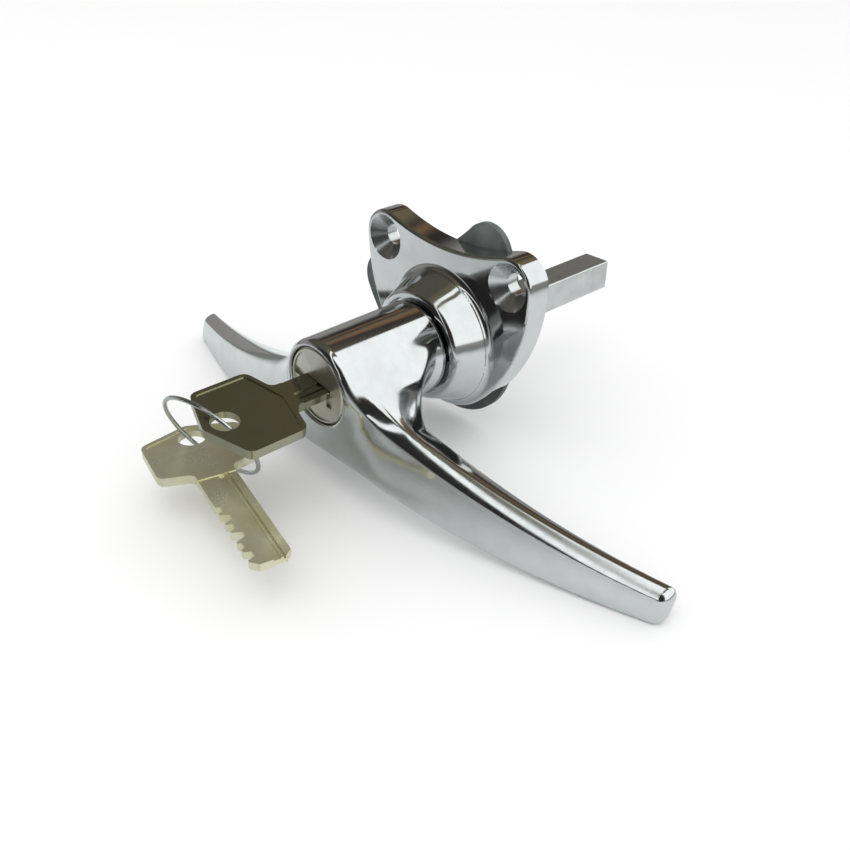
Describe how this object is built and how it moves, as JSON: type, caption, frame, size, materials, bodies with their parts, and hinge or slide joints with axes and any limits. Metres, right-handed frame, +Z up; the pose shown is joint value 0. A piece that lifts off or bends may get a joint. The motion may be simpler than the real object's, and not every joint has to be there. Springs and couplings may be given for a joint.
{
  "type": "boot handle",
  "caption": "Locking T handle for a car boot lid: drooped chrome arms on a barrel with a keyed plug, on a collared two-screw base with a gasket and a square spindle.",
  "frame": {"origin": "on the square spindle's axis, in the plane of the lid's outer skin, which is the gasket's back face", "axes": "+Y along the spindle into the lid, +X to the right of someone who faces the lock, +Z up"},
  "size_m": [0.1672, 0.1363, 0.0551],
  "materials": {
    "bright_chrome": "polished",
    "seal_rubber": "matt",
    "zinc_steel": "satin",
    "lock_nickel": "brushed",
    "lock_brass": "machined",
    "key_nickel": "worn",
    "ring_wire": "bright"
  },
  "bodies": {
    "base": {"base_plate": "bright_chrome", "gasket": "seal_rubber"},
    "handle": {"handle": "bright_chrome", "spindle": "zinc_steel", "spindle_pin": "zinc_steel", "thrust_washer": "zinc_steel", "spring_washer": "zinc_steel", "circlip": "zinc_steel", "lock_sleeve": "lock_brass"},
    "plug": {"lock_plug": "lock_nickel", "plug_clip": "zinc_steel", "wafer_1": "lock_brass", "wafer_2": "lock_brass", "wafer_3": "lock_brass", "wafer_4": "lock_brass", "wafer_5": "lock_brass", "wafer_6": "lock_brass"},
    "bolt": {"locking_bolt": "zinc_steel"},
    "key": {"key": "key_nickel"},
    "ring": {"key_ring": "ring_wire"},
    "spare": {"spare_key": "key_nickel"}
  },
  "joints": [
    {"name": "handle_turn", "type": "hinge", "parent": "base", "child": "handle", "pos_m": [0, 0, 0], "axis": [0, 1, 0], "range_deg": [0, 90]},
    {"name": "key_turn", "type": "hinge", "parent": "handle", "child": "plug", "pos_m": [0, 0, 0], "axis": [0, 1, 0], "range_deg": [0, 90]},
    {"name": "bolt_slide", "type": "slide", "parent": "handle", "child": "bolt", "axis": [0, 0, 1], "range_m": [0, 0.00227]},
    {"name": "key_withdraw", "type": "slide", "parent": "plug", "child": "key", "axis": [0, -1, 0], "range_m": [0, 0.03]},
    {"name": "ring_slide", "type": "hinge", "parent": "key", "child": "ring", "pos_m": [-0.0092, -0.06857, -0.00802], "axis": [0.204, -0.8875, -0.4132], "range_deg": [-10, 10]},
    {"name": "spare_slide", "type": "hinge", "parent": "ring", "child": "spare", "pos_m": [-0.0092, -0.06857, -0.00802], "axis": [0.204, -0.8875, -0.4132], "range_deg": [-10, 10]}
  ],
  "couplings": [
    {"joint": "bolt_slide", "follows": "key_turn", "m_per_rad": 0.00144}
  ]
}
